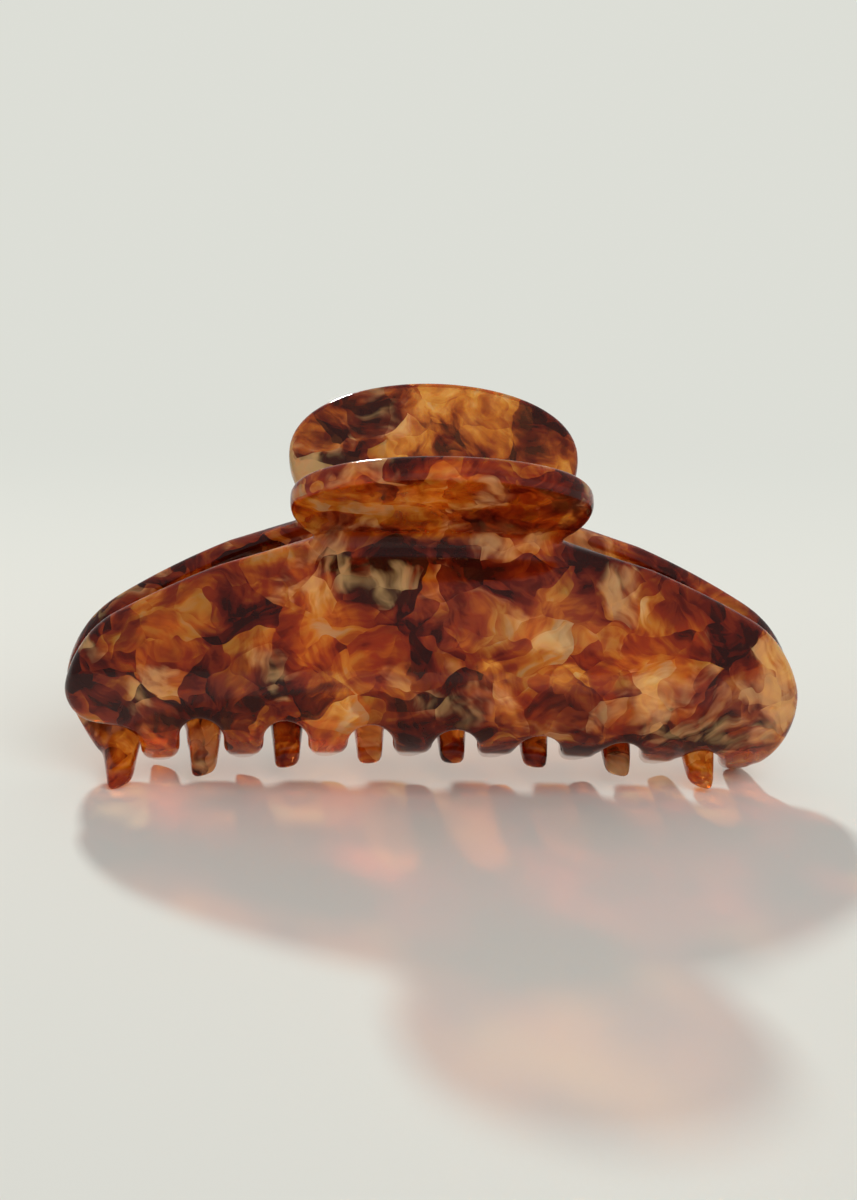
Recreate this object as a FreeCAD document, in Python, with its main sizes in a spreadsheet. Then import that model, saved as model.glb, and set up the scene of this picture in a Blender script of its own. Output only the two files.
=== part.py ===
import FreeCAD, Part
import math
import os
import Sketcher

# A hair claw: two identical jaws cut from acetate sheet and bent hot, a hinge of two folded steel
# brackets on one headed pin, a coil spring round the pin, and four small screws.
# +X runs along the claw, +Z up, and the front jaw is on the -Y side. Z = 0 is the surface it stands on.

os.makedirs("parts", exist_ok=True)
doc = FreeCAD.newDocument("hair_claw")
V = FreeCAD.Vector

SIZES = [
    # the acetate sheet and its bends, seen from the end of the claw
    ("sheet", 3.6, "thickness of the acetate sheet"),
    ("neck_y", 6.0, "middle of the sheet to the centre plane where handle and body lines meet"),
    ("neck_z", 40.7, "height of that meeting point"),
    ("neck_bend", 5.0, "bend radius of the neck, middle of the sheet"),
    ("handle_lean", 51.0, "handle from upright, degrees"),
    ("handle_len", 24.0, "handle from the meeting point to its tip"),
    ("body_lean", 38.3, "top of the body from upright, degrees"),
    ("top_curve", 103.0, "radius of the nearly flat top of the body"),
    ("top_len", 14.3, "length of sheet in the nearly flat top"),
    ("belly_curve", 15.4, "radius of the belly"),
    ("belly_len", 13.3, "length of sheet in the belly"),
    ("tooth_curve", 10.0, "radius where the teeth bend inwards"),
    ("tooth_bend_len", 9.2, "length of sheet in that bend"),
    ("tooth_len", 14.3, "straight part of a middle tooth"),
    ("tooth_short", 7.6, "how much shorter the end teeth are"),
    # the curve along the claw: the section is swept round this axis
    ("plan_curve", 101.0, "radius of the curve along the claw"),
    ("plan_tilt", 26.0, "tilt of its axis from upright, degrees"),
    # the outline of the blank, seen from the front
    ("half_len", 55.0, "half the length of the claw"),
    ("end_z", 16.0, "height of the widest point of the ends"),
    ("wing_x", 47.0, "shoulder of the wing"),
    ("wing_z", 27.2, "height of the shoulder"),
    ("neck_half", 18.0, "half width of the neck"),
    ("notch_z", 39.9, "height of the notch beside the neck"),
    ("handle_half", 22.0, "half width of the handle"),
    ("handle_wide_at", 9.8, "distance of its widest point above the meeting point"),
    # the teeth
    ("teeth", 8, "teeth on each jaw"),
    ("pitch", 12.46, "from tooth to tooth"),
    ("offset_x", 2.95, "teeth of one jaw off centre, so that the two rows pass"),
    ("root_w", 5.9, "width of a tooth at its bend"),
    ("tip_w", 3.6, "width of a tooth at its tip"),
    ("slot_s", 29.0, "sheet length from the meeting point to the top of a slot"),
    ("slot_rise", 0.05, "the line of slots runs down the blank this much per length"),
    # the hinge
    ("pin_z", 40.4, "height of the hinge pin"),
    ("pin_r", 1.0, "radius of the pin"),
    ("pin_head_r", 1.6, "radius of its heads"),
    ("pin_head", 0.7, "thickness of its heads"),
    ("metal", 0.8, "thickness of the bracket steel"),
    ("seat_y", 7.0, "flat milled seat of a bracket to the centre plane"),
    ("seat_w", 19.4, "width of the seat"),
    ("seat_tall", 6.6, "height of the seat"),
    ("base_tall", 6.0, "height of a bracket"),
    ("outer_w", 18.5, "width over the ears of the front bracket"),
    ("ear_gap", 0.25, "clearance between front and rear ears"),
    ("eye_r", 2.2, "radius of the ear round the pin"),
    ("run_gap", 0.05, "running clearance of the rear ears on the pin"),
    ("screw_x", 5.9, "screws either side of the middle"),
    ("screw_drop", 1.2, "screws below the pin"),
    ("screw_r", 0.7, "radius of a screw"),
    ("screw_in", 2.0, "screw length inside the acetate"),
    ("screw_head_r", 1.15, "radius of a screw head"),
    ("screw_head", 0.6, "height of a screw head"),
    ("screw_fit", 0.02, "clearance round a screw"),
    # the spring
    ("wire", 1.1, "spring wire"),
    ("coil_gap", 0.25, "spring to pin"),
    ("coil_pitch", 1.3, "spring turn to turn"),
    ("coils", 8, "whole turns of the spring"),
    ("leg_up", 2.4, "where a leg bears, above the pin"),
    ("leg_gap", 0.05, "leg to bracket"),
]

sheet = doc.addObject("Spreadsheet::Sheet", "Sizes")
for row, (name, value, note) in enumerate(SIZES, start=1):
    sheet.set("A%d" % row, name)
    sheet.set("B%d" % row, str(value))
    sheet.set("C%d" % row, note)
    sheet.setAlias("B%d" % row, name)
doc.recompute()


def size(name):
    return float(getattr(sheet, name))


def bind(obj, prop, text):
    """Drive a property from the sheet: every word in the text that is a size becomes its cell."""
    words = sorted((n for n, v, c in SIZES), key=len, reverse=True)
    out = text
    for word in words:
        out = out.replace("<%s>" % word, "Sizes.%s" % word)
    obj.setExpression(prop, out)


def plane(body, role):
    """One of the body's own origin planes."""
    for item in body.Origin.OriginFeatures:
        if item.Role == role:
            return item
    raise ValueError(role)


def sketch_on(body, role, name):
    sk = body.newObject("Sketcher::SketchObject", name)
    sk.AttachmentSupport = [(plane(body, role), "")]
    sk.MapMode = "FlatFace"
    return sk


def draw(sk, points):
    """Closed outline: a plain pair is a corner, a triple (x, y, 'via') is a point the arc passes."""
    corners = []
    for p in points:
        if len(p) == 3:
            corners[-1][1] = V(p[0], p[1], 0)
        else:
            corners.append([V(p[0], p[1], 0), None])
    first = sk.GeometryCount
    count = len(corners)
    for i, (a, via) in enumerate(corners):
        b = corners[(i + 1) % count][0]
        if via is None:
            sk.addGeometry(Part.LineSegment(a, b), False)
        else:
            sk.addGeometry(Part.Arc(a, via, b), False)
    return first


def centred_box(sk, x0, x1, y0, y1):
    draw(sk, [(x0, y0), (x1, y0), (x1, y1), (x0, y1)])


def pocket(body, sk, name, length=None, midplane=False, reverse=False):
    """Cut a sketch out of the body, through all or to a bound length, and see that it did cut."""
    before = body.Shape.Volume
    cut = body.newObject("PartDesign::Pocket", name)
    cut.Profile = sk
    if length is None:
        cut.Type = "ThroughAll"
    else:
        bind(cut, "Length", length)
    cut.Midplane = midplane
    cut.Reversed = reverse
    doc.recompute()
    if not body.Shape.Volume < before - 1e-6:
        raise ValueError("no cut: " + name)
    return cut


def pad(body, sk, name, length, midplane=False, reverse=False):
    out = body.newObject("PartDesign::Pad", name)
    out.Profile = sk
    bind(out, "Length", length)
    out.Midplane = midplane
    out.Reversed = reverse
    doc.recompute()
    return out


# ---- the section of a jaw: straight and curved runs of the sheet, from the handle tip to the tooth tip
RAD = math.pi / 180.0
LEAN = size("body_lean") * RAD
HANDLE = size("handle_lean") * RAD
TURN = LEAN + HANDLE
TANGENT = size("neck_bend") * math.tan(TURN / 2.0)
SPARE = 6.0
RUNS = [
    (size("handle_len") + SPARE - TANGENT, 0.0),
    (size("neck_bend") * TURN, 1.0 / size("neck_bend")),
    (size("top_len") - TANGENT, -1.0 / size("top_curve")),
    (size("belly_len"), -1.0 / size("belly_curve")),
    (size("tooth_bend_len"), -1.0 / size("tooth_curve")),
    (size("tooth_len") + SPARE, 0.0),
]
START = (size("neck_y") + (size("handle_len") + SPARE) * math.sin(HANDLE),
         size("neck_z") + (size("handle_len") + SPARE) * math.cos(HANDLE))


def step(point, way, length, bend):
    """Walk along one run: outward distance, height and heading (outward from straight down)."""
    end = way + bend * length
    if bend == 0.0:
        return (point[0] + math.sin(way) * length, point[1] - math.cos(way) * length), end
    return (point[0] - (math.cos(end) - math.cos(way)) / bend,
            point[1] - (math.sin(end) - math.sin(way)) / bend), end


def section_at(along, side=0.0):
    """Point of the section at a sheet length below the neck's meeting point, side = -1 in, +1 out."""
    point, way = START, -HANDLE
    left = along + size("handle_len") + SPARE - 2.0 * TANGENT + size("neck_bend") * TURN
    for length, bend in RUNS:
        use = min(length, left)
        point, way = step(point, way, use, bend)
        left -= use
        if left <= 0.0:
            break
    half = side * size("sheet") / 2.0
    return point[0] + half * math.cos(way), point[1] + half * math.sin(way)


TILT = size("plan_tilt") * RAD
AXIS_Y = size("plan_curve") * math.cos(TILT)
AXIS_Z = size("neck_z") - size("plan_curve") * math.sin(TILT)


def on_jaw(x, along, side=0.0):
    """Y and Z of the front jaw's sheet at this x and this sheet length below the neck."""
    out, up = section_at(along, side)
    dy, dz = -out - AXIS_Y, up - AXIS_Z
    lengthwise = dy * math.sin(TILT) + dz * math.cos(TILT)
    away = -(dy * math.cos(TILT) - dz * math.sin(TILT))
    away = math.sqrt(away * away - x * x)
    return (AXIS_Y + lengthwise * math.sin(TILT) - away * math.cos(TILT),
            AXIS_Z + lengthwise * math.cos(TILT) + away * math.sin(TILT))


def section_points(side):
    """Corner and arc-via points of one face of the sheet, from the handle to the teeth."""
    point, way = START, -HANDLE
    half = side * size("sheet") / 2.0
    out = []
    for length, bend in RUNS:
        out.append((-(point[0] + half * math.cos(way)), point[1] + half * math.sin(way)))
        if bend != 0.0:
            mid, mid_way = step(point, way, length / 2.0, bend)
            out.append((-(mid[0] + half * math.cos(mid_way)), mid[1] + half * math.sin(mid_way), "via"))
        point, way = step(point, way, length, bend)
    out.append((-(point[0] + half * math.cos(way)), point[1] + half * math.sin(way)))
    return out


def tooth_x(i):
    return (i - (size("teeth") - 1) / 2.0) * size("pitch") + size("offset_x")


def slot_top(x):
    """Height of the top of a slot in the front of the jaw, at this x."""
    return on_jaw(x, size("slot_s") + size("slot_rise") * x, 1.0)[1]


def front_outline():
    """Outline of the body seen from the front: wings, rounded ends and the slots between the teeth."""
    low, high, beside = -20.0, size("neck_z") + 30.0, size("handle_half") + 1.2
    half, end_z = size("half_len"), size("end_z")
    neck, notch = size("neck_half"), size("notch_z")
    wing_x, wing_z = size("wing_x"), size("wing_z")
    via_x, via_z = (neck + wing_x) / 2.0 + 0.4, (notch + wing_z) / 2.0 + 0.9
    tip_x, tip_z = wing_x + 0.74 * (half - wing_x), end_z + 0.485 * (wing_z - end_z)
    step_x, step_z = neck + 0.6, notch + 0.2
    radius = (size("pitch") - size("root_w")) / 2.0
    side = size("root_w") / 2.0
    last, first = tooth_x(size("teeth") - 1) + side, tooth_x(0) - side
    right_z = slot_top(last) - 2.0
    left_z = slot_top(-half + 6.0) - 1.0
    pts = [(-beside, high), (beside, high), (beside, step_z), (step_x, step_z), (neck, notch),
           (via_x, via_z, "via"), (wing_x, wing_z), (tip_x, tip_z, "via"), (half, end_z),
           (half - 1.4, (end_z + right_z) / 2.0 - 0.9, "via"), (last, right_z), (last, low)]
    for i in range(int(size("teeth")) - 1, 0, -1):
        right, left = tooth_x(i) - side, tooth_x(i - 1) + side
        mid = (right + left) / 2.0
        top = slot_top(mid)
        pts += [(right, low), (right, top - radius), (mid, top, "via"), (left, top - radius), (left, low)]
    pts += [(first, low), (first, left_z - radius), (first - 0.293 * radius, left_z - 0.293 * radius, "via"),
            (first - radius, left_z), (-half + 4.2, left_z), (-half + 1.1, (end_z + left_z) / 2.0 - 1.0, "via"),
            (-half, end_z), (-tip_x, tip_z, "via"), (-wing_x, wing_z), (-via_x, via_z, "via"),
            (-neck, notch), (-step_x, step_z), (-beside, step_z)]
    return pts


def teeth_plan():
    """Plan of what is cut away between and beyond the straight teeth, as one comb."""
    far = 40.0
    count = int(size("teeth"))
    root, tip = size("root_w") / 2.0, size("tip_w") / 2.0
    reach = size("top_len") + size("belly_len") + size("tooth_bend_len")
    half = size("half_len") + 5.0
    pts = [(-half, far)]
    for i in range(count):
        x = tooth_x(i)
        share = (x / (size("half_len") - 9.0)) ** 2
        root_y = on_jaw(x, reach - 2.0)[0]
        tip_y = on_jaw(x, reach + size("tooth_len") - size("tooth_short") * share)[0]
        if i == 0:
            pts.append((-half, root_y + 2.0))
            pts.append((x - root - 3.0, root_y + 1.0))
        pts += [(x - root, root_y), (x - tip, tip_y - 1.0), (x - tip + 1.0, tip_y),
                (x + tip - 1.0, tip_y), (x + tip, tip_y - 1.0), (x + root, root_y)]
        if i == count - 1:
            pts.append((x + root + 3.0, root_y + 1.0))
            pts.append((half, root_y + 2.0))
    pts.append((half, far))
    return pts


def handle_outline():
    """What is cut away round the handle, in the handle's own plane."""
    half, wide_at, tip = size("handle_half"), size("handle_wide_at"), size("handle_len")
    neck, start, far = size("neck_half"), -2.0, tip + 40.0
    flank = (wide_at ** 2 + (half - neck) ** 2) / (2.0 * (half - neck))
    oval = [(half * math.cos(k * math.pi / 8), wide_at + (tip - wide_at) * math.sin(k * math.pi / 8))
            for k in range(1, 8)]
    oval = [p + ("via",) if k % 2 == 0 else p for k, p in enumerate(oval)]
    low_y = (start + wide_at) / 2.0
    low_x = half - flank + math.sqrt(flank ** 2 - (wide_at - low_y) ** 2)
    return [(neck, start), (low_x, low_y, "via"), (half, wide_at)] + oval + [
        (-half, wide_at), (-low_x, low_y, "via"), (-neck, start), (-far, start), (-far, far), (far, far),
        (far, start)]


def make_jaw(name, turned):
    """A jaw: the bent sheet, cut to the outline of the blank, with the seat of its hinge bracket."""
    body = doc.addObject("PartDesign::Body", name)
    body.Label = name
    bent = sketch_on(body, "YZ_Plane", name + "_section")
    draw(bent, section_points(1.0) + section_points(-1.0)[::-1])
    along = V(math.sin(TILT), math.cos(TILT), 0)
    bent.addGeometry(Part.LineSegment(V(AXIS_Y, AXIS_Z, 0), V(AXIS_Y, AXIS_Z, 0) + along * 50), True)
    doc.recompute()
    spin = body.newObject("PartDesign::Revolution", name + "_sheet")
    spin.Profile = bent
    spin.ReferenceAxis = (bent, ["Axis0"])
    spin.Angle = 76.0
    spin.Midplane = True
    doc.recompute()
    trim = sketch_on(body, "XZ_Plane", name + "_outline")
    wide = size("half_len") * 2.0
    centred_box(trim, -wide, wide, -60.0, 120.0)
    draw(trim, front_outline())
    pocket(body, trim, name + "_blank", "<half_len> * 4", midplane=True)
    paddle = sketch_on(body, "XZ_Plane", name + "_handle_outline")
    paddle.AttachmentOffset = FreeCAD.Placement(V(0, 0, 0), FreeCAD.Rotation(V(1, 0, 0), size("handle_lean")))
    bind(paddle, "AttachmentOffset.Base.y", "<neck_z> - (<sheet> / 2 + 0.3) * sin(<handle_lean> * 1deg)")
    bind(paddle, "AttachmentOffset.Base.z", "<neck_y> + (<sheet> / 2 + 0.3) * cos(<handle_lean> * 1deg)")
    draw(paddle, handle_outline())
    pocket(body, paddle, name + "_handle", "<sheet> * 3")
    comb = sketch_on(body, "XY_Plane", name + "_teeth_plan")
    comb.AttachmentOffset = FreeCAD.Placement(V(0, 0, 0), FreeCAD.Rotation())
    bind(comb, "AttachmentOffset.Base.z", "<neck_z> * 0.3")
    draw(comb, teeth_plan())
    pocket(body, comb, name + "_teeth")
    seat = sketch_on(body, "XZ_Plane", name + "_seat_plan")
    bind(seat, "AttachmentOffset.Base.z", "<seat_y>")
    half_w, half_t = size("seat_w") / 2.0, size("seat_tall") / 2.0
    centred_box(seat, -half_w, half_w, size("pin_z") - half_t, size("pin_z") + half_t)
    pocket(body, seat, name + "_seat", "<seat_y>")
    holes = sketch_on(body, "XZ_Plane", name + "_screw_plan")
    bind(holes, "AttachmentOffset.Base.z", "<seat_y>")
    for sx in (-1, 1):
        centre = V(sx * size("screw_x"), size("pin_z") - size("screw_drop"), 0)
        holes.addGeometry(Part.Circle(centre, V(0, 0, 1), size("screw_r") + size("screw_fit")), False)
    pocket(body, holes, name + "_screw_holes", "<screw_in> + 0.2", reverse=True)
    if turned:
        body.Placement = FreeCAD.Placement(V(0, 0, 0), FreeCAD.Rotation(V(0, 0, 1), 180))
    return body



make_jaw("front_jaw", False)
make_jaw("rear_jaw", True)


# ---- the hinge: each bracket is one strip folded into a channel, its two ears bored for the pin
def make_bracket(name, over_ears, hole_r, turned):
    """Folded channel: base on the jaw's seat, ears reaching to the pin."""
    body = doc.addObject("PartDesign::Body", name)
    body.Label = name
    seat, tall, eye, pin_z = size("seat_y"), size("base_tall") / 2.0, size("eye_r"), size("pin_z")
    side = sketch_on(body, "YZ_Plane", name + "_side")
    draw(side, [(-seat, pin_z - tall), (-seat + 1.6, pin_z - tall), (0.0, pin_z - eye), (eye, pin_z, "via"),
                (0.0, pin_z + eye), (-seat + 1.6, pin_z + tall), (-seat, pin_z + tall)])
    pad(body, side, name + "_block", over_ears, midplane=True)
    inside = sketch_on(body, "YZ_Plane", name + "_inside")
    centred_box(inside, -seat + size("metal"), eye + 2.0, pin_z - 2 * tall, pin_z + 2 * tall)
    pocket(body, inside, name + "_fold", "(" + over_ears + ") - 2 * <metal>", midplane=True)
    bore = sketch_on(body, "YZ_Plane", name + "_bore_plan")
    bore.addGeometry(Part.Circle(V(0, pin_z, 0), V(0, 0, 1), hole_r), False)
    pocket(body, bore, name + "_bore", "<outer_w> + 4", midplane=True)
    holes = sketch_on(body, "XZ_Plane", name + "_hole_plan")
    bind(holes, "AttachmentOffset.Base.z", "<seat_y>")
    for sx in (-1, 1):
        centre = V(sx * size("screw_x"), pin_z - size("screw_drop"), 0)
        holes.addGeometry(Part.Circle(centre, V(0, 0, 1), size("screw_r") + size("screw_fit")), False)
    pocket(body, holes, name + "_holes", "<metal> * 2")
    if turned:
        body.Placement = FreeCAD.Placement(V(0, 0, 0), FreeCAD.Rotation(V(0, 0, 1), 180))
    return body


make_bracket("front_bracket", "<outer_w>", size("pin_r"), False)
make_bracket("rear_bracket", "<outer_w> - 2 * <metal> - 2 * <ear_gap>", size("pin_r") + size("run_gap"), True)

# the pin: turned, headed at both ends, tight in the front ears
pin = doc.addObject("PartDesign::Body", "hinge_pin")
pin.Label = "hinge_pin"
shank = sketch_on(pin, "YZ_Plane", "pin_round")
shank.addGeometry(Part.Circle(V(0, 0, 0), V(0, 0, 1), size("pin_r")), False)
pad(pin, shank, "pin_shank", "<outer_w> + 2 * <pin_head>", midplane=True)
for sign, word in ((-1, "left"), (1, "right")):
    head = sketch_on(pin, "YZ_Plane", "pin_head_" + word)
    head.addGeometry(Part.Circle(V(0, 0, 0), V(0, 0, 1), size("pin_head_r")), False)
    bind(head, "AttachmentOffset.Base.z", "%d * <outer_w> / 2" % sign)
    pad(pin, head, "pin_head_%s_pad" % word, "<pin_head>", reverse=sign < 0)
pin.Placement = FreeCAD.Placement(V(0, 0, size("pin_z")), FreeCAD.Rotation())

# ---- the spring: round wire, close coils, two legs that push the tops of the jaws apart
wire_r = size("wire") / 2.0
coil_r = size("pin_r") + size("coil_gap") + wire_r
leg_y = size("seat_y") - size("metal") - wire_r - size("leg_gap")
reach_r = math.hypot(leg_y, size("leg_up"))
leg_turn = math.atan2(size("leg_up"), -leg_y) + math.acos(coil_r / reach_r)
turn_total = 2.0 * math.pi * size("coils") + (math.pi - 2.0 * (leg_turn - math.pi)) % (2.0 * math.pi)
coil_len = size("coil_pitch") * turn_total / (2.0 * math.pi)
leg_len = math.sqrt(reach_r ** 2 - coil_r ** 2)
rise = size("coil_pitch") / (2.0 * math.pi)
start_way = V(0, coil_r, rise)
end_way = V(-coil_r * math.sin(turn_total), coil_r * math.cos(turn_total), rise)
end_point = V(coil_r * math.cos(turn_total), coil_r * math.sin(turn_total), coil_len)
line = Part.makeHelix(size("coil_pitch"), coil_len, coil_r)
ring = Part.Wire([Part.makeCircle(wire_r, V(coil_r, 0, 0), start_way)])
coil = Part.Wire(line.Edges).makePipeShell([ring], True, True)
first_leg = Part.makeCylinder(wire_r, leg_len, V(coil_r, 0, 0), start_way * -1)
last_leg = Part.makeCylinder(wire_r, leg_len, end_point, end_way)
spring = doc.addObject("Part::Feature", "torsion_spring")
spring.Label = "torsion_spring"
spring.Shape = coil.fuse([first_leg, last_leg]).Solids[0]
along_x = FreeCAD.Rotation(V(1, 0, 0), math.degrees(leg_turn)) * FreeCAD.Rotation(V(1, 1, 1), 120)
spring.Placement = FreeCAD.Placement(V(-coil_len / 2.0, 0, size("pin_z")), along_x)


# ---- the screws: two to a bracket, driven from the hinge side into blind holes in the acetate
def make_screws(name, turned):
    """Two pan-head screws, each a solid of its own."""
    made = []
    for sx, word in ((-1, "left"), (1, "right")):
        shank_part = doc.addObject("Part::Cylinder", name + "_shank_" + word)
        bind(shank_part, "Radius", "<screw_r>")
        bind(shank_part, "Height", "<screw_in> + <metal> + 0.01")
        head_part = doc.addObject("Part::Cylinder", name + "_head_" + word)
        bind(head_part, "Radius", "<screw_head_r>")
        bind(head_part, "Height", "<screw_head>")
        z = size("pin_z") - size("screw_drop")
        lying = FreeCAD.Rotation(V(1, 0, 0), 90)
        deep = size("seat_y") - size("metal")
        shank_part.Placement = FreeCAD.Placement(V(sx * size("screw_x"), -deep + 0.01, z), lying)
        head_part.Placement = FreeCAD.Placement(V(sx * size("screw_x"), -deep + size("screw_head"), z), lying)
        one = doc.addObject("Part::MultiFuse", name + "_" + word)
        one.Shapes = [shank_part, head_part]
        made.append(one)
    doc.recompute()
    group = doc.addObject("Part::Compound", name)
    group.Label = name
    group.Links = made
    if turned:
        group.Placement = FreeCAD.Placement(V(0, 0, 0), FreeCAD.Rotation(V(0, 0, 1), 180))
    return group


make_screws("front_screws", False)
make_screws("rear_screws", True)

doc.recompute()
NODES = ["front_jaw", "rear_jaw", "front_bracket", "rear_bracket", "hinge_pin", "torsion_spring",
         "front_screws", "rear_screws"]
for obj in doc.Objects:
    if "Invalid" in obj.State or "Error" in obj.State:
        raise ValueError("bad object: " + obj.Name)
for node in NODES:
    shape = doc.getObject(node).Shape
    if shape.isNull() or not shape.isValid():
        raise ValueError("bad shape: " + node)
    box = shape.BoundBox
    print(node, len(shape.Solids), round(shape.Volume, 1), [round(v, 2) for v in (
        box.XMin, box.XMax, box.YMin, box.YMax, box.ZMin, box.ZMax)])
    shape.exportStep("parts/%s.step" % node)
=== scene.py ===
import math
import bpy
import numpy as np
from mathutils import Matrix, Vector


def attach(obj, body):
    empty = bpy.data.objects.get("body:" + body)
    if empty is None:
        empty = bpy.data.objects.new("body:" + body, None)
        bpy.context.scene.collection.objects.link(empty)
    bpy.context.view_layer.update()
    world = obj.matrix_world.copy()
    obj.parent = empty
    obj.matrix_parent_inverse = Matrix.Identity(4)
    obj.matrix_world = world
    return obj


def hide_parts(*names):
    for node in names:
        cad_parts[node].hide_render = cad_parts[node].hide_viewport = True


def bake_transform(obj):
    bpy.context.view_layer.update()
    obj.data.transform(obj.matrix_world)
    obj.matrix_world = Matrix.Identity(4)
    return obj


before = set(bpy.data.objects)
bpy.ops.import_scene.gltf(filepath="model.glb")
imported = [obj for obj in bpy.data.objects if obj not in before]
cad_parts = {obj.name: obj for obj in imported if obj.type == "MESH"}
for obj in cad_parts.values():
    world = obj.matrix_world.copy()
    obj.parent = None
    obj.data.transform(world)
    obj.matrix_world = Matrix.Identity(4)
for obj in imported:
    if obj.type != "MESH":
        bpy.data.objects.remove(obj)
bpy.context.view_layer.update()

# ---------------------------------------------------------------------------------------------------
# The two jaws. Each is one piece of 3.6 mm marbled acetate sheet: the flat blank is sawn to its
# outline with the slots between the teeth, bent hot over a former, and tumbled for days until every
# edge is round and the faces shine like glass. The rear jaw is the same piece turned half a turn.
# ---------------------------------------------------------------------------------------------------
SHEET = 0.0036              # thickness of the acetate
EDGE = 0.0013               # radius the tumbling leaves on the edges
NECK = (0.0060, 0.0407)     # where the lines of handle and body meet: out from the middle, and up
HANDLE_LEAN, HANDLE_LEN = math.radians(51.0), 0.0240
BODY_LEAN, NECK_BEND = math.radians(38.3), 0.0050
TOP_CURVE, TOP_LEN = 0.1030, 0.0143
BELLY_CURVE, BELLY_LEN = 0.0154, 0.0133
TOOTH_CURVE, TOOTH_BEND_LEN = 0.0100, 0.0092
TOOTH_LEN, TOOTH_SHORT = 0.0143, 0.0076
PLAN_CURVE, PLAN_TILT = 0.1010, math.radians(26.0)
HALF_LEN, END_Z = 0.0550, 0.0160
WING_X, WING_Z = 0.0470, 0.0272
NECK_HALF, NOTCH_Z = 0.0180, 0.0399
HANDLE_HALF, HANDLE_WIDE_AT = 0.0220, 0.0098
TEETH, PITCH, OFFSET = 8, 0.01246, 0.00295
ROOT_W, TIP_W = 0.0059, 0.0036
SLOT_AT, SLOT_RISE = 0.0290, 0.05
PIN_Z = 0.0404              # height of the hinge pin
SEAT_HALF, SEAT_UP, SEAT_Y = 0.0097, 0.0033, 0.0070     # flat milled seat of a hinge bracket
CELL = 0.0004               # size of the cells the jaw's skin is taken from
ROUND_BY = 0.0006           # how far the tumbling rounds the corners of the outline
MARGIN = 0.0016             # room left round the blank on every side


def section(along, side):
    """The bent sheet seen from its end: straight handle, round neck, nearly flat top, belly, tooth bend
    and straight tooth, as one chain of lines and arcs. For a length along the sheet below the neck and a
    height above its middle it gives the way out from the middle of the claw and the way up."""
    far = 0.08              # longer than any handle or tooth
    turn = BODY_LEAN + HANDLE_LEAN
    cut = NECK_BEND * math.tan(turn / 2)
    runs = [(far, 0.0), (NECK_BEND * turn, 1 / NECK_BEND), (TOP_LEN - cut, -1 / TOP_CURVE),
            (BELLY_LEN, -1 / BELLY_CURVE), (TOOTH_BEND_LEN, -1 / TOOTH_CURVE), (far, 0.0)]
    out = NECK[0] + (far + cut) * math.sin(HANDLE_LEAN)
    up = NECK[1] + (far + cut) * math.cos(HANDLE_LEAN)
    way, start = -HANDLE_LEAN, -far - NECK_BEND * turn + cut
    y, z, heading = np.full_like(along, out), np.full_like(along, up), np.full_like(along, way)
    for length, bend in runs:
        use = np.clip(along - start, 0.0, length)
        end = heading + bend * use
        if bend == 0.0:
            y, z = y + np.sin(heading) * use, z - np.cos(heading) * use
        else:
            y, z = y - (np.cos(end) - np.cos(heading)) / bend, z - (np.sin(end) - np.sin(heading)) / bend
        heading, start = end, start + length
    return y + side * np.cos(heading), z + side * np.sin(heading)


def bend(x, along, side):
    """Place of a point of the flat blank on the bent front jaw: the section above, swept round an axis
    behind the claw that leans back, keeping its x."""
    out, up = section(along, side)
    ay, az = PLAN_CURVE * math.cos(PLAN_TILT), NECK[1] - PLAN_CURVE * math.sin(PLAN_TILT)
    dy, dz = -out - ay, up - az
    level = dy * math.sin(PLAN_TILT) + dz * math.cos(PLAN_TILT)
    away = -(dy * math.cos(PLAN_TILT) - dz * math.sin(PLAN_TILT))
    away = np.sqrt(np.maximum(away ** 2 - x ** 2, 1e-9))
    return (ay + level * math.sin(PLAN_TILT) - away * math.cos(PLAN_TILT),
            az + level * math.cos(PLAN_TILT) + away * math.sin(PLAN_TILT))


def along_at(x, height, low=-0.004, high=0.044):
    """Length along the blank where the middle of the sheet is at a given height, for each x."""
    s = np.linspace(low, high, 500)
    z = bend(x[:, None], np.broadcast_to(s, (len(x), 500)), 0.0)[1]
    return np.array([np.interp(-h, -row, s) for h, row in zip(height, z)])


def arc(a, via, b, n):
    """Points of the circle through three points, from the first to the last."""
    a, via, b = (np.array(p, float) for p in (a, via, b))
    m = np.array([via - a, b - a]) * 2
    c = np.linalg.solve(m, [via @ via - a @ a, b @ b - a @ a])
    turns = np.unwrap([math.atan2(p[1] - c[1], p[0] - c[0]) for p in (a, via, b)])
    angle = np.linspace(turns[0], turns[2], n)
    return c + np.hypot(*(a - c)) * np.stack([np.cos(angle), np.sin(angle)], 1)


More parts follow.
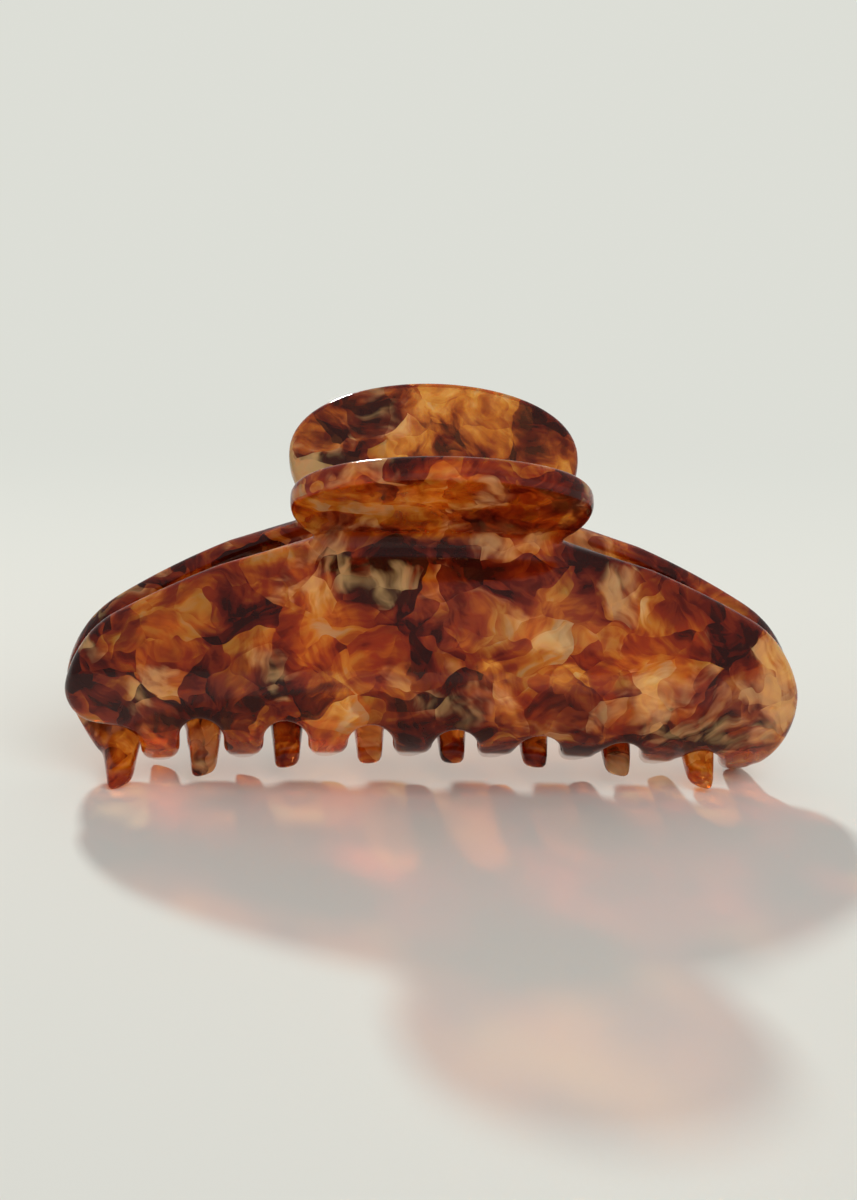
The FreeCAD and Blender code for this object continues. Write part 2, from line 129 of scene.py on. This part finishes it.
def blank():
    """Outline of the flat blank, x against length along the sheet, as one closed chain of points:
    handle oval, notch, wing, rounded end, teeth with arched slots, and back."""
    def front(points):
        points = np.asarray(points)
        return np.stack([points[:, 0], along_at(points[:, 0], points[:, 1])], 1)

    def slot_top(x):
        x = np.atleast_1d(np.float64(x))
        return bend(x, SLOT_AT + SLOT_RISE * x, SHEET / 2)[1][0]

    # the handle, in its own plane; the sweep shifts it by a hair, which is taken off again
    t = np.linspace(math.pi / 2, 0, 40)
    oval = np.stack([HANDLE_HALF * np.cos(t), HANDLE_WIDE_AT + (HANDLE_LEN - HANDLE_WIDE_AT) * np.sin(t)], 1)
    flank = (HANDLE_WIDE_AT ** 2 + (HANDLE_HALF - NECK_HALF) ** 2) / (2 * (HANDLE_HALF - NECK_HALF))
    rise = np.linspace(HANDLE_WIDE_AT, -0.0005, 20)[1:]
    side = np.stack([HANDLE_HALF - flank + np.sqrt(flank ** 2 - (HANDLE_WIDE_AT - rise) ** 2), rise], 1)
    handle = np.concatenate([oval, side])
    turn = BODY_LEAN + HANDLE_LEAN
    lost = NECK_BEND * (2 * math.tan(turn / 2) - turn)
    handle = np.stack([handle[:, 0], lost - handle[:, 1] - handle[:, 0] ** 2 / (2 * PLAN_CURVE)], 1)

    via = ((NECK_HALF + WING_X) / 2 + 0.0004, (NOTCH_Z + WING_Z) / 2 + 0.0009)
    tip = (WING_X + 0.74 * (HALF_LEN - WING_X), END_Z + 0.485 * (WING_Z - END_Z))
    wing = np.concatenate([arc((NECK_HALF, NOTCH_Z), via, (WING_X, WING_Z), 40)[1:],
                           arc((WING_X, WING_Z), tip, (HALF_LEN, END_Z), 30)[1:]])
    tooth = (np.arange(TEETH) - (TEETH - 1) / 2) * PITCH + OFFSET
    root, point = ROOT_W / 2, TIP_W / 2
    radius = (PITCH - ROOT_W) / 2
    reach = TOP_LEN + BELLY_LEN + TOOTH_BEND_LEN
    tip_s = reach + TOOTH_LEN - TOOTH_SHORT * (tooth / (HALF_LEN - 0.009)) ** 2
    last, first = tooth[-1] + root, tooth[0] - root
    right_z, left_z = slot_top(last) - 0.002, slot_top(-HALF_LEN + 0.006) - 0.001
    right = front(arc((HALF_LEN, END_Z), (HALF_LEN - 0.0014, (END_Z + right_z) / 2 - 0.0009),
                      (last, right_z), 20)[1:])
    chain = [handle, front(wing), right]
    for i in range(TEETH - 1, -1, -1):
        x, s = tooth[i], tip_s[i]
        chain.append(np.array([[x + root, reach - 0.002], [x + point, s],
                               [x - point, s], [x - root, reach - 0.002]]))
        if i:
            mid, top = (x + tooth[i - 1]) / 2, slot_top((x + tooth[i - 1]) / 2)
            chain.append(front(arc((mid + radius, top - radius), (mid, top), (mid - radius, top - radius), 24)))
    q = math.sqrt(0.5) * radius
    left = np.concatenate([
        arc((first, left_z - radius), (first - radius + q, left_z - radius + q),
            (first - radius, left_z), 12),
        arc((-HALF_LEN + 0.0042, left_z), (-HALF_LEN + 0.0011, (END_Z + left_z) / 2 - 0.001),
            (-HALF_LEN, END_Z), 20)])
    chain += [front(left), front((wing * [-1, 1])[::-1]), (handle * [-1, 1])[::-1]]
    return np.concatenate(chain)


def outline_distance(x, s, ring):
    """Distance of each grid point from a closed chain of straight pieces, negative inside it."""
    a, b = ring, np.roll(ring, -1, 0)
    px, ps = x.ravel()[:, None], s.ravel()[:, None]
    best, inside = np.full(x.size, 1e9), np.zeros(x.size, bool)
    for i in range(0, len(a), 32):
        ax, as_, bx, bs = a[i:i + 32, 0], a[i:i + 32, 1], b[i:i + 32, 0], b[i:i + 32, 1]
        dx, ds = bx - ax, bs - as_
        t = np.clip(((px - ax) * dx + (ps - as_) * ds) / (dx * dx + ds * ds + 1e-18), 0, 1)
        best = np.minimum(best, np.hypot(px - ax - t * dx, ps - as_ - t * ds).min(1))
        crosses = (as_ > ps) != (bs > ps)
        with np.errstate(divide="ignore", invalid="ignore"):
            cut = ax + (ps - as_) * dx / ds
        inside ^= ((crosses & (px < cut)).sum(1) % 2).astype(bool)
    return np.where(inside, -best, best).reshape(x.shape)


def soften(field, reach):
    """Weighted mean over neighbours both ways, which rounds the corners of an outline as tumbling does."""
    k = np.exp(-0.5 * (np.arange(-8, 9) * CELL / reach) ** 2)
    k /= k.sum()
    for axis in (0, 1):
        padded = np.pad(field, [(8, 8) if i == axis else (0, 0) for i in (0, 1)], mode="edge")
        field = sum(w * np.take(padded, range(i, i + field.shape[axis]), axis) for i, w in enumerate(k))
    return field


def skin(field, origin, cell):
    """Closed surface where a field on a regular grid is zero: one point in every cell that the surface
    crosses, at the mean of its edge crossings, and one square round every grid edge that it crosses."""
    n = np.array(field.shape)
    low = field < 0
    corner = [(i, j, k) for i in (0, 1) for j in (0, 1) for k in (0, 1)]

    def at(values, c):
        """Values at one corner of every cell."""
        return values[c[0]:n[0] - 1 + c[0], c[1]:n[1] - 1 + c[1], c[2]:n[2] - 1 + c[2]]

    count = sum(at(low, c).astype(np.int8) for c in corner)
    live = (count > 0) & (count < 8)
    index = np.full(live.shape, -1, np.int64)
    index[live] = np.arange(live.sum())
    total, hits = np.zeros((live.sum(), 3)), np.zeros(live.sum())
    for a in corner:
        for axis in range(3):
            if a[axis]:
                continue
            b = tuple(1 if i == axis else a[i] for i in range(3))
            fa, fb = at(field, a)[live], at(field, b)[live]
            crossed = (fa < 0) != (fb < 0)
            t = np.where(crossed, fa / np.where(crossed, fa - fb, 1.0), 0.0)
            place = np.array(a, float)[None] + t[:, None] * np.eye(3)[axis][None]
            total += place * crossed[:, None]
            hits += crossed
    points = np.stack(np.nonzero(live), 1) + total / hits[:, None]
    faces = []
    for axis in range(3):
        u, v = [(1, 2), (2, 0), (0, 1)][axis]
        lo = [slice(0, None)] * 3
        hi = [slice(0, None)] * 3
        lo[axis], hi[axis] = slice(0, n[axis] - 1), slice(1, n[axis])
        a, b = low[tuple(lo)], low[tuple(hi)]
        change = a != b
        inner = np.ones_like(change)
        for w in (u, v):
            edge = [slice(None)] * 3
            edge[w] = 0
            inner[tuple(edge)] = False
            edge[w] = n[w] - 1
            inner[tuple(edge)] = False
        spot = np.stack(np.nonzero(change & inner), 1)
        eu, ev = np.eye(3, dtype=int)[u], np.eye(3, dtype=int)[v]
        ring = [spot - eu - ev, spot - ev, spot, spot - eu]
        quad = np.stack([index[tuple(r.T)] for r in ring], 1)
        outward = a[change & inner]
        faces.append(np.where(outward[:, None], quad, quad[:, ::-1]))
    return points * cell + origin, np.concatenate(faces)


def make_mesh(name, points, faces):
    """Mesh object from an array of points and an array of faces, shaded smooth."""
    mesh = bpy.data.meshes.new(name)
    size = faces.shape[1]
    mesh.vertices.add(len(points))
    mesh.vertices.foreach_set("co", np.ascontiguousarray(points, np.float32).ravel())
    mesh.loops.add(faces.size)
    mesh.loops.foreach_set("vertex_index", faces.astype(np.int32).ravel())
    mesh.polygons.add(len(faces))
    mesh.polygons.foreach_set("loop_start", np.arange(0, faces.size, size, dtype=np.int32))
    mesh.polygons.foreach_set("use_smooth", np.ones(len(faces), bool))
    mesh.update(calc_edges=True)
    mesh.validate()
    obj = bpy.data.objects.new(name, mesh)
    bpy.context.scene.collection.objects.link(obj)
    return obj


def jaw_skin():
    """Skin of the front jaw. Over the flat blank the field is the distance from a slab with its outline
    and a round edge; the seat of the hinge is taken out of it where the bent sheet passes the hinge.
    The zero surface is found on the flat grid and every point is then carried to its bent place."""
    ring = blank()
    x = np.arange(-HALF_LEN - MARGIN, HALF_LEN + MARGIN, CELL)
    s = np.arange(ring[:, 1].min() - MARGIN, ring[:, 1].max() + MARGIN, CELL)
    h = np.arange(-6, 7) * CELL
    gx, gs = np.meshgrid(x, s, indexing="ij")
    flat = soften(outline_distance(gx, gs, ring), ROUND_BY)
    over_edge, over_face = flat[:, :, None] + EDGE, np.abs(h)[None, None] - SHEET / 2 + EDGE
    field = (np.minimum(np.maximum(over_edge, over_face), 0)
             + np.hypot(np.maximum(over_edge, 0), np.maximum(over_face, 0)) - EDGE)
    y, z = bend(gx[:, :, None], gs[:, :, None] + 0 * h, h[None, None] + 0 * gs[:, :, None])
    seat = np.maximum(np.maximum(np.abs(gx)[:, :, None] - SEAT_HALF,
                                 np.abs(z - PIN_Z) - SEAT_UP), -SEAT_Y - y)
    field = np.maximum(field, -seat)
    points, faces = skin(field, np.array([x[0], s[0], h[0]]), CELL)
    y, z = bend(points[:, 0], points[:, 1], points[:, 2])
    return np.stack([points[:, 0], y, z], 1), faces


points, faces = jaw_skin()
a, b, c = (points[faces[:, i]] for i in (0, 1, 2))
if np.einsum("ij,ij->i", np.cross(a, b), c).sum() < 0:
    faces = faces[:, ::-1]
front_jaw = make_mesh("front_jaw_skin", points, faces)
rear_jaw = make_mesh("rear_jaw_skin", points * [-1, -1, 1], faces)
for obj, node, body in ((front_jaw, "front_jaw", "front_half"), (rear_jaw, "rear_jaw", "rear_half")):
    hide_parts(node)
    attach(obj, body)


# The acetate: a clear amber sheet with chips of darker and milky sheet pressed into it, so the pattern
# runs right through. Clear parts let light through; mahogany and cream parts are nearly opaque.

class Wire:
    """A node socket that can be used in sums: each operator adds its Math node."""
    def __init__(self, tree, socket):
        self.tree, self.socket = tree, socket

    def node(self, kind, settings=None, inputs=None, out=0):
        made = self.tree.nodes.new(kind)
        for key, value in (settings or {}).items():
            if key == "stops":
                ramp = made.color_ramp
                while len(ramp.elements) < len(value):
                    ramp.elements.new(1.0)
                for stop, (place, colour) in zip(ramp.elements, value):
                    stop.position, stop.color = place, (*colour, 1.0)
            elif key == "ease":
                made.color_ramp.interpolation = value
            else:
                setattr(made, key, value)
        for key, value in (inputs or {}).items():
            if isinstance(value, Wire):
                self.tree.links.new(value.socket, made.inputs[key])
            else:
                made.inputs[key].default_value = value
        return Wire(self.tree, made.outputs[out] if made.outputs else None)

    def maths(self, how, a, b=0.0, clamp=False):
        return self.node("ShaderNodeMath", {"operation": how, "use_clamp": clamp}, {0: a, 1: b})

    def __add__(self, o):
        return self.maths("ADD", self, o)

    def __radd__(self, o):
        return self.maths("ADD", o, self)

    def __sub__(self, o):
        return self.maths("SUBTRACT", self, o)

    def __rsub__(self, o):
        return self.maths("SUBTRACT", o, self)

    def __mul__(self, o):
        return self.maths("MULTIPLY", self, o)

    def __rmul__(self, o):
        return self.maths("MULTIPLY", o, self)

    def between(self, low, high):
        """0 below low, 1 above high, smooth between them."""
        return self.node("ShaderNodeMapRange", {"interpolation_type": "SMOOTHSTEP"},
                         {"Value": self, "From Min": low, "From Max": high})

    def mix(self, share, other):
        """This colour, going over to the other where share is 1."""
        return self.node("ShaderNodeMix", {"data_type": "RGBA"}, {0: share, 6: self, 7: other}, out=2)

    def shift(self, by):
        return self.node("ShaderNodeVectorMath", {"operation": "ADD"}, {0: self, 1: by})

    def scale(self, by):
        return self.node("ShaderNodeVectorMath", {"operation": "MULTIPLY"}, {0: self, 1: by})


def new_material(name):
    material = bpy.data.materials.new(name)
    material.use_nodes = True
    tree = material.node_tree
    tree.nodes.clear()
    return material, Wire(tree, None)


def finish_material(w, shader):
    w.node("ShaderNodeOutputMaterial", None, {"Surface": shader})


MAHOGANY, OXBLOOD, RUST = (0.030, 0.0015, 0.0002), (0.15, 0.007, 0.0002), (0.40, 0.036, 0.0004)
AMBER, HONEY, CREAM = (0.68, 0.150, 0.002), (0.88, 0.36, 0.030), (0.82, 0.53, 0.22)


def acetate(name, cut_from):
    """Marbled acetate. cut_from is where on the big block this piece of sheet was cut."""
    material, w = new_material(name)
    place = w.node("ShaderNodeTexCoord", out=3).shift(cut_from)
    wander = w.node("ShaderNodeTexNoise", None, {"Vector": place, "Scale": 110.0, "Detail": 2.0,
                                                 "Roughness": 0.55}, out=1)
    swirl = wander.shift((-0.5, -0.5, -0.5)).scale((0.008, 0.008, 0.008))
    bent = place.shift(swirl)

    def shards(size, seed):
        """Angular chips: a lot drawn for each, the light and dark side of each, and the streaks in it."""
        at = bent.shift(seed).scale((1.0, 0.8, 1.3))
        lot = w.node("ShaderNodeTexVoronoi", {"feature": "F1"}, {"Vector": at, "Scale": 1.0 / size}, out=1)
        middle_of = Wire(w.tree, lot.socket.node.outputs["Position"])
        inside = w.node("ShaderNodeVectorMath", {"operation": "SUBTRACT"}, {0: at, 1: middle_of})
        facing = w.node("ShaderNodeVectorMath", {"operation": "DOT_PRODUCT"},
                        {0: inside.scale((1.0 / size,) * 3), 1: lot.shift((-0.5, -0.5, -0.5))}, out=1)
        red = w.node("ShaderNodeSeparateColor", None, {"Color": lot})
        turned = w.node("ShaderNodeVectorRotate", {"rotation_type": "Y_AXIS"},
                        {"Vector": bent, "Angle": red * 6.0})
        streaks = w.node("ShaderNodeTexNoise", None, {"Vector": turned.scale((1.0, 0.5, 0.14)),
                                                      "Scale": 4.5 / size, "Detail": 3.0})
        return red, facing, streaks.between(0.3, 0.7)

    def cloud(size, seed, detail=4.0):
        return w.node("ShaderNodeTexNoise", None,
                      {"Vector": bent.shift(seed), "Scale": 1.0 / size, "Detail": detail, "Roughness": 0.5}
                      ).between(0.28, 0.72)

    big, big_side, big_streaks = shards(0.0125, (0.3, 0.1, 0.2))
    small, small_side, small_streaks = shards(0.0062, (0.7, 0.9, 0.4))
    soft, fine = cloud(0.019, (0.2, 0.5, 0.1)), cloud(0.006, (0.9, 0.3, 0.6))
    tone = (big * 0.30 + soft * 0.50 + small * 0.16 + fine * 0.16 + big_side * 0.42 + small_side * 0.30
            + (big_streaks - 0.5) * 0.26 + (small_streaks - 0.5) * 0.20 - 0.11)
    colour = w.node("ShaderNodeValToRGB", {"ease": "LINEAR", "stops": [
        (0.14, MAHOGANY), (0.30, OXBLOOD), (0.44, RUST), (0.60, AMBER), (0.76, HONEY), (0.95, CREAM)]},
        {"Fac": tone})
    milk = (cloud(0.013, (0.4, 0.8, 0.3)) * 0.7 + big_streaks * 0.25 + small * 0.25 + big_side * 0.3
            ).between(0.72, 1.02)
    milky = colour.mix(milk * 0.60, (*CREAM, 1.0))
    opaque = w.maths("MINIMUM", (1.0 - tone.between(0.16, 0.50)) * 0.40 + milk * 0.35 + 0.38, 0.92)
    tint = w.node("ShaderNodeGamma", None, {"Color": milky, "Gamma": 0.5})
    clear = w.node("ShaderNodeBsdfPrincipled", None, {
        "Base Color": tint, "Roughness": 0.06, "IOR": 1.45, "Transmission Weight": 1.0})
    solid = w.node("ShaderNodeBsdfPrincipled", None, {
        "Base Color": milky, "Roughness": 0.09, "Specular IOR Level": 0.22, "Subsurface Weight": 0.4,
        "Subsurface Radius": (1.0, 0.40, 0.12), "Subsurface Scale": 0.003})
    sheet = w.node("ShaderNodeMixShader", None, {0: opaque, 1: clear, 2: solid})
    # light that falls through the sheet reaches what lies behind it in the colour of the sheet
    through = w.node("ShaderNodeBsdfTransparent", None, {"Color": tint})
    shadow = w.node("ShaderNodeLightPath", out=1)
    finish_material(w, w.node("ShaderNodeMixShader", None, {0: shadow, 1: sheet, 2: through}))
    return material


for obj, cut_from in ((front_jaw, (0.0, 0.0, 0.0)), (rear_jaw, (0.23, 0.11, 0.05))):
    obj.data.materials.append(acetate(obj.name + "_acetate", cut_from))


# ---------------------------------------------------------------------------------------------------
# The hinge brackets. Each is one strip of nickel-plated steel folded into a channel: its base is
# screwed to the milled seat inside the neck and its two ears carry the pin.
# ---------------------------------------------------------------------------------------------------
def metal(name, colour, rough):
    """Plated steel, bright, with a faint drawn grain."""
    material, w = new_material(name)
    place = w.node("ShaderNodeTexCoord", out=3)
    grain = w.node("ShaderNodeTexNoise", None, {"Vector": place, "Scale": 900.0, "Detail": 2.0})
    shader = w.node("ShaderNodeBsdfPrincipled", None, {
        "Base Color": (*colour, 1.0), "Metallic": 1.0, "Roughness": grain * 0.12 + (rough - 0.06)})
    finish_material(w, shader)
    return material


STRIP = 0.0008              # thickness of the strip
plated = metal("plated_steel_strip", (0.62, 0.60, 0.57), 0.28)
for node in ("front_bracket", "rear_bracket"):
    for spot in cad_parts[node].material_slots:
        spot.material = plated


# ---------------------------------------------------------------------------------------------------
# The hinge pin. Turned from 2 mm steel rod and headed over at both ends; it is tight in the front ears
# and the rear ears turn on it.
# ---------------------------------------------------------------------------------------------------
def lathe(name, profile, around=48):
    """Round piece about the x axis: a profile of (x, radius) pairs carried round a full turn, with both
    ends of the profile on the axis."""
    x, r = np.array(profile, float).T
    t = np.arange(around) * 2 * math.pi / around
    ring = np.stack([np.repeat(x[1:-1], around), np.outer(r[1:-1], np.cos(t)).ravel(),
                     np.outer(r[1:-1], np.sin(t)).ravel()], 1)
    points = np.concatenate([ring, [[x[0], 0, 0], [x[-1], 0, 0]]])
    rows = len(x) - 2
    i, j = np.meshgrid(np.arange(rows - 1), np.arange(around), indexing="ij")
    k = (j + 1) % around
    side = np.stack([i * around + j, i * around + k, (i + 1) * around + k, (i + 1) * around + j], -1)
    side = side.reshape(-1, 4)
    j, k = np.arange(around), (np.arange(around) + 1) % around
    first, last, end = rows * around, rows * around + 1, (rows - 1) * around
    caps = np.concatenate([np.stack([k, j, 0 * j + first], 1), np.stack([end + j, end + k, 0 * j + last], 1)])
    triangles = np.concatenate([side[:, [0, 1, 2]], side[:, [0, 2, 3]], caps])
    return points, triangles[:, ::-1]


def rounded_rim(x0, x1, radius, round_by, n=8):
    """Profile of a disc between two places, up round one rim and down round the other."""
    t = np.linspace(0, math.pi / 2, n)
    rise = np.stack([x0 + round_by * (1 - np.cos(t)), radius - round_by + round_by * np.sin(t)], 1)
    fall = np.stack([x1 - round_by + round_by * np.sin(t), radius - round_by + round_by * np.cos(t)], 1)
    return np.concatenate([rise, fall])


PIN_R, PIN_HEAD_R, PIN_HEAD, EARS = 0.0010, 0.0016, 0.0007, 0.0185
left = rounded_rim(-EARS / 2 - PIN_HEAD, -EARS / 2, PIN_HEAD_R, 0.0003)
right = rounded_rim(EARS / 2, EARS / 2 + PIN_HEAD, PIN_HEAD_R, 0.0003)
profile = np.concatenate([[[left[0, 0], 0.0]], left, [[-EARS / 2, PIN_R], [EARS / 2, PIN_R]], right,
                          [[right[-1, 0], 0.0]]])
points, triangles = lathe("pin", profile)
pin = make_mesh("hinge_pin_turned", points + [0, 0, PIN_Z], triangles)
pin.data.materials.append(metal("pin_steel_bright", (0.60, 0.59, 0.57), 0.24))
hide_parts("hinge_pin")
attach(pin, "front_half")


# ---------------------------------------------------------------------------------------------------
# The spring. Hard-drawn 1.1 mm wire in eight close turns round the pin; one leg bears on each bracket
# above the pin and pushes the handles apart.
# ---------------------------------------------------------------------------------------------------
WIRE_R, COIL_R, TURN_PITCH, TURNS = 0.00055, 0.0018, 0.0013, 8
LEG_GAP = 0.00005           # between a leg and the bracket it bears on
LEG_Y, LEG_UP = SEAT_Y - STRIP - WIRE_R - LEG_GAP, 0.0024
reach = math.hypot(LEG_Y, LEG_UP)
leg_turn = math.atan2(LEG_UP, -LEG_Y) + math.acos(COIL_R / reach)
whole = 2 * math.pi * TURNS + (math.pi - 2 * (leg_turn - math.pi)) % (2 * math.pi)
leg = math.sqrt(reach ** 2 - COIL_R ** 2)
coil_len = TURN_PITCH * whole / (2 * math.pi)


def tube(line, radius, around=14):
    """Round wire carried along a line of points; each ring stands square to the line and is turned so
    that it does not twist about it, and both ends are closed with a rounded tip."""
    way = np.gradient(line, axis=0)
    way /= np.linalg.norm(way, axis=1)[:, None]
    side = np.cross(way, [1.0, 0.0, 0.0])
    side /= np.linalg.norm(side, axis=1)[:, None]
    up = np.cross(side, way)
    t = np.arange(around) * 2 * math.pi / around
    ring = (line[:, None] + (radius * np.cos(t))[None, :, None] * side[:, None]
            + (radius * np.sin(t))[None, :, None] * up[:, None])
    caps = []
    for end, sign in ((0, -1), (-1, 1)):
        for lift in (0.35, 0.65, 0.85):
            shrink = math.sqrt(1 - lift ** 2)
            caps.append(line[end] + sign * way[end] * lift * radius
                        + (ring[end] - line[end]) * shrink)
    rings = np.concatenate([np.array(caps[:3])[::-1], ring, np.array(caps[3:])])
    rows = len(rings)
    points = np.concatenate([rings.reshape(-1, 3), [line[0] - way[0] * radius, line[-1] + way[-1] * radius]])
    i, j = np.meshgrid(np.arange(rows - 1), np.arange(around), indexing="ij")
    k = (j + 1) % around
    quads = np.stack([i * around + j, i * around + k, (i + 1) * around + k, (i + 1) * around + j], -1)
    quads = quads.reshape(-1, 4)
    j, k = np.arange(around), (np.arange(around) + 1) % around
    last, n = (rows - 1) * around, rows * around
    caps = np.concatenate([np.stack([k, j, 0 * j + n], 1), np.stack([last + j, last + k, 0 * j + n + 1], 1)])
    triangles = np.concatenate([quads[:, [0, 1, 2]], quads[:, [0, 2, 3]], caps])
    a, b, c = (points[triangles[:, i]] for i in (0, 1, 2))
    if np.einsum("ij,ij->i", np.cross(a, b), c).sum() < 0:
        triangles = triangles[:, ::-1]
    return points, triangles


turn = np.linspace(0, whole, 24 * TURNS + 6)
coil = np.stack([-coil_len / 2 + coil_len * turn / whole, COIL_R * np.cos(leg_turn + turn),
                 COIL_R * np.sin(leg_turn + turn)], 1)


def wire_way(at):
    """Direction of the wire after a given turn of the coil."""
    way = np.array([coil_len / whole, -COIL_R * math.sin(leg_turn + at), COIL_R * math.cos(leg_turn + at)])
    return way / np.linalg.norm(way)


start, end = wire_way(0.0), wire_way(whole)
steps = np.linspace(1, 0, 10)[:-1, None] * (leg - WIRE_R * 0.4)
line = np.concatenate([coil[0] - steps * start, coil, coil[-1] + steps[::-1] * end])
points, triangles = tube(line, WIRE_R)
spring = make_mesh("torsion_spring_wire", points + [0, 0, PIN_Z], triangles)
spring.data.materials.append(metal("spring_wire_drawn", (0.50, 0.49, 0.47), 0.30))
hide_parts("torsion_spring")
-coil_len / 2 + 0.0004
coil_len / 2 - 0.0004
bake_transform(spring)


# ---------------------------------------------------------------------------------------------------
# The screws. Two 1.4 mm pan-head screws to a bracket, driven from the hinge side into blind holes in
# the neck of the jaw, so nothing of them shows outside.
# ---------------------------------------------------------------------------------------------------
SCREW_X, SCREW_DROP, SCREW_HEAD_R, SCREW_HEAD = 0.0059, 0.0012, 0.00115, 0.0006
SCREW_R = 0.0007
screw_steel = metal("screw_steel_bright", (0.55, 0.54, 0.52), 0.25)
head = rounded_rim(0.0, SCREW_HEAD, SCREW_HEAD_R, 0.00028)
points, triangles = lathe("screw", np.concatenate([
    [[-0.00279, 0.0], [-0.00279, SCREW_R * 0.6], [-0.0025, SCREW_R], [0.0, SCREW_R], [0.0, SCREW_HEAD_R]], head[8:],
    [[SCREW_HEAD, 0.0]]]), 32)
for side, node, body in ((1, "front_screws", "front_half"), (-1, "rear_screws", "rear_half")):
    pair, faces_of = [], []
    for sx in (-1, 1):
        # the screw's own axis is turned to run across the claw, its head towards the pin
        laid = np.stack([points[:, 1], points[:, 0], -points[:, 2]], 1)
        laid += [sx * SCREW_X, -SEAT_Y + STRIP, PIN_Z - SCREW_DROP]
        pair.append(laid * [side, side, 1])
        faces_of.append(triangles + len(points) * (len(pair) - 1))
    both = np.concatenate(faces_of)
    screws = make_mesh(node + "_driven", np.concatenate(pair), both)
    screws.data.materials.append(screw_steel)
    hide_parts(node)
    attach(screws, body)


# ---------------------------------------------------------------------------------------------------
# The surface it stands on: a plain matt off-white sheet, lying flat far out on every side.
# ---------------------------------------------------------------------------------------------------
lowest = min(min(v.co.z for v in jaw.data.vertices) for jaw in (front_jaw, rear_jaw))
points = np.array([[-6.0, -6.0, lowest], [6.0, -6.0, lowest], [6.0, 6.0, lowest], [-6.0, 6.0, lowest]])
floor = make_mesh("floor", points, np.array([[0, 1, 2, 3]]))
PAPER, FAR_PAPER = (0.70, 0.705, 0.665, 1.0), (0.72, 0.73, 0.675, 1.0)
material, w = new_material("floor_paper")
matt = w.node("ShaderNodeBsdfPrincipled", None, {"Base Color": PAPER, "Roughness": 0.9,
                                                  "Specular IOR Level": 0.1})
far_off = w.node("ShaderNodeSeparateXYZ", None, {0: w.node("ShaderNodeTexCoord", out=3)}, out=1
                 ).between(0.03, 0.22)
path = w.node("ShaderNodeLightPath", out=0)
looked_at = w.maths("MAXIMUM", w.maths("MAXIMUM", path, Wire(w.tree, path.socket.node.outputs[3])),
                    Wire(w.tree, path.socket.node.outputs["Is Transmission Ray"]))
plain = w.node("ShaderNodeEmission", None, {"Color": FAR_PAPER, "Strength": 1.0})
finish_material(w, w.node("ShaderNodeMixShader", None, {0: looked_at * far_off, 1: matt, 2: plain}))
floor.data.materials.append(material)

# ---------------------------------------------------------------------------------------------------
# The light: an even pale room, one soft lamp low behind and a little to the left, and a wide fill in front.
# ---------------------------------------------------------------------------------------------------
world = bpy.data.worlds.new("room")
bpy.context.scene.world = world
world.use_nodes = True
world.node_tree.nodes.clear()
w = Wire(world.node_tree, None)
w.node("ShaderNodeOutputWorld", None, {"Surface": w.node(
    "ShaderNodeBackground", None, {"Color": (1.0, 1.0, 0.98, 1.0), "Strength": 0.42})})


def lamp(name, place, power, size, colour, mirrored=True):
    light = bpy.data.lights.new(name, "AREA")
    light.energy, light.size, light.color = power, size, colour
    obj = bpy.data.objects.new(name, light)
    obj.location = place
    obj.rotation_euler = (Vector((0, 0, 0.03)) - Vector(place)).to_track_quat("-Z", "Y").to_euler()
    obj.visible_glossy = mirrored
    bpy.context.scene.collection.objects.link(obj)


lamp("window_behind", (-0.19, 1.05, 0.62), 12.5, 0.09, (1.0, 0.98, 0.93))
lamp("fill_in_front", (0.35, -0.95, 0.85), 6.5, 0.8, (1.0, 1.0, 1.0), mirrored=False)

# ---------------------------------------------------------------------------------------------------
# The camera: in front, a little above, the left end of the claw slightly nearer.
# ---------------------------------------------------------------------------------------------------
RISE, SWING, ROLL = math.radians(16.16), math.radians(3.007), math.radians(1.638)
DISTANCE, FOCAL_PX = 0.52236, 3486.3
aim = Vector((-0.00086, 0.0, 0.02873))
forward = Vector((0, math.cos(RISE), -math.sin(RISE)))
across = Vector((1, 0, 0))
upward = across.cross(forward)
across, upward = (math.cos(ROLL) * across + math.sin(ROLL) * upward,
                  -math.sin(ROLL) * across + math.cos(ROLL) * upward)
turned = Matrix.Rotation(-SWING, 3, "Z")
axes = Matrix((turned @ across, turned @ upward, turned @ -forward)).transposed().to_4x4()
camera_data = bpy.data.cameras.new("camera")
camera_data.sensor_width, camera_data.lens = 36.0, FOCAL_PX * 36.0 / 1200.0
camera_data.clip_start, camera_data.clip_end = 0.01, 50.0
camera = bpy.data.objects.new("camera", camera_data)
bpy.context.scene.collection.objects.link(camera)
camera.matrix_world = Matrix.Translation(turned @ (aim - DISTANCE * forward)) @ axes
bpy.context.scene.camera = camera
bpy.context.scene.view_settings.view_transform = "Standard"
